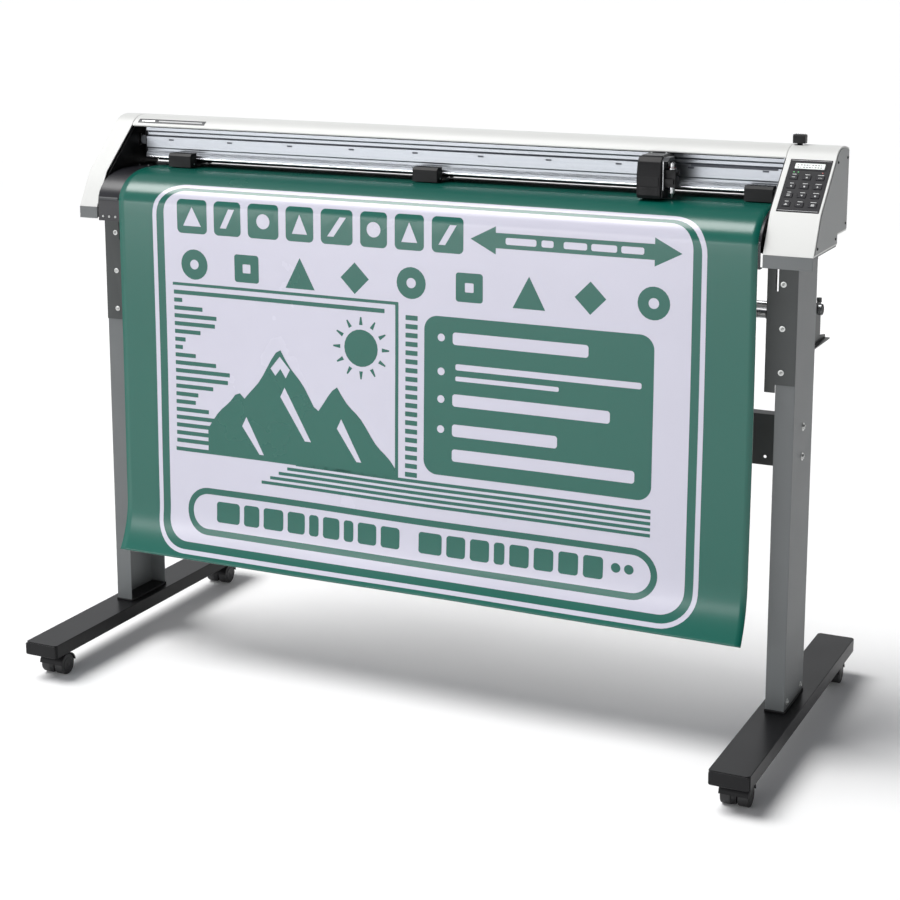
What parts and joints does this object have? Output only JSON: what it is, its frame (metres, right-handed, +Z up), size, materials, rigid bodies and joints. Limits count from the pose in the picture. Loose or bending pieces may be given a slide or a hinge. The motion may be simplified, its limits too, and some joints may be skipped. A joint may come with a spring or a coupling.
{
  "type": "vinyl cutting plotter",
  "caption": "Floor-standing roll-fed vinyl cutter: long rail with a cutting carriage, pinch rollers, end covers, control panel, loaded sheet, and a two-leg stand on casters.",
  "frame": {"origin": "on the floor, under the middle of the stand", "axes": "+X to the operator's right along the rail, +Y to the back, +Z up"},
  "size_m": [1.541, 0.736, 1.132],
  "materials": {
    "white_plastic": "fine moulded texture, satin",
    "grey_paint": "satin powder coat",
    "black_paint": "semi-gloss",
    "dark_paint": "satin",
    "platen_metal": "satin",
    "black_plastic": "fine texture",
    "panel_plastic": "satin film",
    "key_rubber": "soft touch",
    "alloy": "anodised, brushed along its length",
    "steel": "ground",
    "wheel_plastic": "matte",
    "vinyl": "satin film with a printed panel"
  },
  "bodies": {
    "machine": {"foot_left": "black_paint", "foot_right": "black_paint", "leg_left": "grey_paint", "leg_right": "grey_paint", "leg_bracket_left": "dark_paint", "leg_bracket_right": "dark_paint", "cross_beam": "dark_paint", "stock_bracket_left": "dark_paint", "stock_bracket_right": "dark_paint", "base_frame": "grey_paint", "platen": "platen_metal", "side_plate_left": "black_paint", "side_plate_right": "black_paint", "left_cover": "white_plastic", "right_cover": "white_plastic", "top_cover": "white_plastic", "carriage_rail": "alloy", "control_panel": "panel_plastic", "power_inlet": "black_plastic", "vinyl_sheet": "vinyl", "carriage_motor": "dark_paint"},
    "caster_front_left": {"caster_fork_front_left": "black_plastic"},
    "wheels_front_left": {"caster_wheel_front_left": "wheel_plastic"},
    "caster_front_right": {"caster_fork_front_right": "black_plastic"},
    "wheels_front_right": {"caster_wheel_front_right": "wheel_plastic"},
    "caster_rear_left": {"caster_fork_rear_left": "black_plastic"},
    "wheels_rear_left": {"caster_wheel_rear_left": "wheel_plastic"},
    "caster_rear_right": {"caster_fork_rear_right": "black_plastic"},
    "wheels_rear_right": {"caster_wheel_rear_right": "wheel_plastic"},
    "stock_shaft_front": {"stock_shaft_front": "steel"},
    "stock_shaft_rear": {"stock_shaft_rear": "steel"},
    "set_lever": {"set_lever": "black_plastic"},
    "feed_shaft": {"feed_shaft": "steel"},
    "pinch_holder_left": {"pinch_holder_left": "black_plastic"},
    "pinch_arm_left": {"pinch_arm_left": "black_plastic"},
    "pinch_roller_left": {"pinch_roller_left": "wheel_plastic"},
    "pinch_holder_middle": {"pinch_holder_middle": "black_plastic"},
    "pinch_arm_middle": {"pinch_arm_middle": "black_plastic"},
    "pinch_roller_middle": {"pinch_roller_middle": "wheel_plastic"},
    "pinch_holder_right": {"pinch_holder_right": "black_plastic"},
    "pinch_arm_right": {"pinch_arm_right": "black_plastic"},
    "pinch_roller_right": {"pinch_roller_right": "wheel_plastic"},
    "carriage": {"carriage": "black_plastic"},
    "tool": {"tool_plunger": "black_plastic", "blade_holder": "steel"},
    "idler_pulley": {"idler_pulley": "alloy"},
    "drive_pulley": {"drive_pulley": "alloy"},
    "power_switch": {"power_switch": "black_plastic"},
    "key_01": {"key_01": "key_rubber"},
    "key_02": {"key_02": "key_rubber"},
    "key_03": {"key_03": "key_rubber"},
    "key_04": {"key_04": "key_rubber"},
    "key_05": {"key_05": "key_rubber"},
    "key_06": {"key_06": "key_rubber"},
    "key_07": {"key_07": "key_rubber"},
    "key_08": {"key_08": "key_rubber"},
    "key_09": {"key_09": "key_rubber"},
    "key_10": {"key_10": "key_rubber"},
    "key_11": {"key_11": "key_rubber"},
    "key_12": {"key_12": "key_rubber"}
  },
  "joints": [
    {"name": "swivel_front_left", "type": "hinge", "parent": "machine", "child": "caster_front_left", "pos_m": [-0.721, -0.322, 0.045], "axis": [0, 0, 1], "continuous": true},
    {"name": "wheel_front_left", "type": "hinge", "parent": "caster_front_left", "child": "wheels_front_left", "pos_m": [-0.721, -0.314, 0.02082], "axis": [1, 0, 0], "continuous": true},
    {"name": "swivel_front_right", "type": "hinge", "parent": "machine", "child": "caster_front_right", "pos_m": [0.721, -0.322, 0.045], "axis": [0, 0, 1], "continuous": true},
    {"name": "wheel_front_right", "type": "hinge", "parent": "caster_front_right", "child": "wheels_front_right", "pos_m": [0.721, -0.314, 0.02082], "axis": [1, 0, 0], "continuous": true},
    {"name": "swivel_rear_left", "type": "hinge", "parent": "machine", "child": "caster_rear_left", "pos_m": [-0.721, 0.322, 0.045], "axis": [0, 0, 1], "continuous": true},
    {"name": "wheel_rear_left", "type": "hinge", "parent": "caster_rear_left", "child": "wheels_rear_left", "pos_m": [-0.721, 0.314, 0.02082], "axis": [1, 0, 0], "continuous": true},
    {"name": "swivel_rear_right", "type": "hinge", "parent": "machine", "child": "caster_rear_right", "pos_m": [0.721, 0.322, 0.045], "axis": [0, 0, 1], "continuous": true},
    {"name": "wheel_rear_right", "type": "hinge", "parent": "caster_rear_right", "child": "wheels_rear_right", "pos_m": [0.721, 0.314, 0.02082], "axis": [1, 0, 0], "continuous": true},
    {"name": "stock_shaft_front_spin", "type": "hinge", "parent": "machine", "child": "stock_shaft_front", "pos_m": [0, 0.076, 0.793], "axis": [1, 0, 0], "continuous": true},
    {"name": "stock_shaft_rear_spin", "type": "hinge", "parent": "machine", "child": "stock_shaft_rear", "pos_m": [0, 0.164, 0.793], "axis": [1, 0, 0], "continuous": true},
    {"name": "set_lever_tilt", "type": "hinge", "parent": "machine", "child": "set_lever", "pos_m": [0, 0.084, 1.046], "axis": [1, 0, 0], "range_deg": [-18, 0]},
    {"name": "feed_shaft_spin", "type": "hinge", "parent": "machine", "child": "feed_shaft", "pos_m": [0, 0.014, 0.9978], "axis": [1, 0, 0], "continuous": true},
    {"name": "pinch_slide_left", "type": "slide", "parent": "machine", "child": "pinch_holder_left", "axis": [1, 0, 0], "range_m": [-0.09, 0.22]},
    {"name": "pinch_lift_left", "type": "hinge", "parent": "pinch_holder_left", "child": "pinch_arm_left", "pos_m": [-0.6, 0.092, 1.016], "axis": [1, 0, 0], "range_deg": [-2.7, 0]},
    {"name": "pinch_roller_left_spin", "type": "hinge", "parent": "pinch_arm_left", "child": "pinch_roller_left", "pos_m": [-0.6, 0.014, 1.0193], "axis": [1, 0, 0], "continuous": true},
    {"name": "pinch_slide_middle", "type": "slide", "parent": "machine", "child": "pinch_holder_middle", "axis": [1, 0, 0], "range_m": [-0.28, 0.28]},
    {"name": "pinch_lift_middle", "type": "hinge", "parent": "pinch_holder_middle", "child": "pinch_arm_middle", "pos_m": [-0.035, 0.092, 1.016], "axis": [1, 0, 0], "range_deg": [-2.7, 0]},
    {"name": "pinch_roller_middle_spin", "type": "hinge", "parent": "pinch_arm_middle", "child": "pinch_roller_middle", "pos_m": [-0.035, 0.014, 1.0193], "axis": [1, 0, 0], "continuous": true},
    {"name": "pinch_slide_right", "type": "slide", "parent": "machine", "child": "pinch_holder_right", "axis": [1, 0, 0], "range_m": [-0.33, 0.01]},
    {"name": "pinch_lift_right", "type": "hinge", "parent": "pinch_holder_right", "child": "pinch_arm_right", "pos_m": [0.635, 0.092, 1.016], "axis": [1, 0, 0], "range_deg": [-2.7, 0]},
    {"name": "pinch_roller_right_spin", "type": "hinge", "parent": "pinch_arm_right", "child": "pinch_roller_right", "pos_m": [0.635, 0.014, 1.0193], "axis": [1, 0, 0], "continuous": true},
    {"name": "carriage_slide", "type": "slide", "parent": "machine", "child": "carriage", "axis": [1, 0, 0], "range_m": [-1.1, 0.165]},
    {"name": "tool_press", "type": "slide", "parent": "carriage", "child": "tool", "axis": [0, 0, -1], "range_m": [0, 0.0034], "stiffness_N_per_m": 1500, "springref_m": -0.002},
    {"name": "idler_pulley_spin", "type": "hinge", "parent": "machine", "child": "idler_pulley", "pos_m": [-0.712, 0.046, 1.062], "axis": [0, 1, 0], "continuous": true},
    {"name": "drive_pulley_spin", "type": "hinge", "parent": "machine", "child": "drive_pulley", "pos_m": [0.736, 0.046, 1.062], "axis": [0, 1, 0], "continuous": true},
    {"name": "power_switch_rock", "type": "hinge", "parent": "machine", "child": "power_switch", "pos_m": [0.725, 0.109, 1.035], "axis": [1, 0, 0], "range_deg": [-14, 0]},
    {"name": "key_01_press", "type": "slide", "parent": "machine", "child": "key_01", "axis": [0, 0.6754, -0.7375], "range_m": [0, 0.0008], "stiffness_N_per_m": 400, "springref_m": -0.0006},
    {"name": "key_02_press", "type": "slide", "parent": "machine", "child": "key_02", "axis": [0, 0.6754, -0.7375], "range_m": [0, 0.0008], "stiffness_N_per_m": 400, "springref_m": -0.0006},
    {"name": "key_03_press", "type": "slide", "parent": "machine", "child": "key_03", "axis": [0, 0.6754, -0.7375], "range_m": [0, 0.0008], "stiffness_N_per_m": 400, "springref_m": -0.0006},
    {"name": "key_04_press", "type": "slide", "parent": "machine", "child": "key_04", "axis": [0, 0.6754, -0.7375], "range_m": [0, 0.0008], "stiffness_N_per_m": 400, "springref_m": -0.0006},
    {"name": "key_05_press", "type": "slide", "parent": "machine", "child": "key_05", "axis": [0, 0.6754, -0.7375], "range_m": [0, 0.0008], "stiffness_N_per_m": 400, "springref_m": -0.0006},
    {"name": "key_06_press", "type": "slide", "parent": "machine", "child": "key_06", "axis": [0, 0.6754, -0.7375], "range_m": [0, 0.0008], "stiffness_N_per_m": 400, "springref_m": -0.0006},
    {"name": "key_07_press", "type": "slide", "parent": "machine", "child": "key_07", "axis": [0, 0.6754, -0.7375], "range_m": [0, 0.0008], "stiffness_N_per_m": 400, "springref_m": -0.0006},
    {"name": "key_08_press", "type": "slide", "parent": "machine", "child": "key_08", "axis": [0, 0.6754, -0.7375], "range_m": [0, 0.0008], "stiffness_N_per_m": 400, "springref_m": -0.0006},
    {"name": "key_09_press", "type": "slide", "parent": "machine", "child": "key_09", "axis": [0, 0.6754, -0.7375], "range_m": [0, 0.0008], "stiffness_N_per_m": 400, "springref_m": -0.0006},
    {"name": "key_10_press", "type": "slide", "parent": "machine", "child": "key_10", "axis": [0, 0.6754, -0.7375], "range_m": [0, 0.0008], "stiffness_N_per_m": 400, "springref_m": -0.0006},
    {"name": "key_11_press", "type": "slide", "parent": "machine", "child": "key_11", "axis": [0, 0.6754, -0.7375], "range_m": [0, 0.0008], "stiffness_N_per_m": 400, "springref_m": -0.0006},
    {"name": "key_12_press", "type": "slide", "parent": "machine", "child": "key_12", "axis": [0, 0.6754, -0.7375], "range_m": [0, 0.0008], "stiffness_N_per_m": 400, "springref_m": -0.0006}
  ],
  "couplings": [
    {"joint": "pinch_lift_left", "follows": "set_lever_tilt", "ratio": 0.144},
    {"joint": "pinch_roller_left_spin", "follows": "feed_shaft_spin", "ratio": -1.5},
    {"joint": "pinch_lift_middle", "follows": "set_lever_tilt", "ratio": 0.144},
    {"joint": "pinch_roller_middle_spin", "follows": "feed_shaft_spin", "ratio": -1.5},
    {"joint": "pinch_lift_right", "follows": "set_lever_tilt", "ratio": 0.144},
    {"joint": "pinch_roller_right_spin", "follows": "feed_shaft_spin", "ratio": -1.5},
    {"joint": "idler_pulley_spin", "follows": "carriage_slide", "rad_per_m": -125},
    {"joint": "drive_pulley_spin", "follows": "carriage_slide", "rad_per_m": -125}
  ]
}
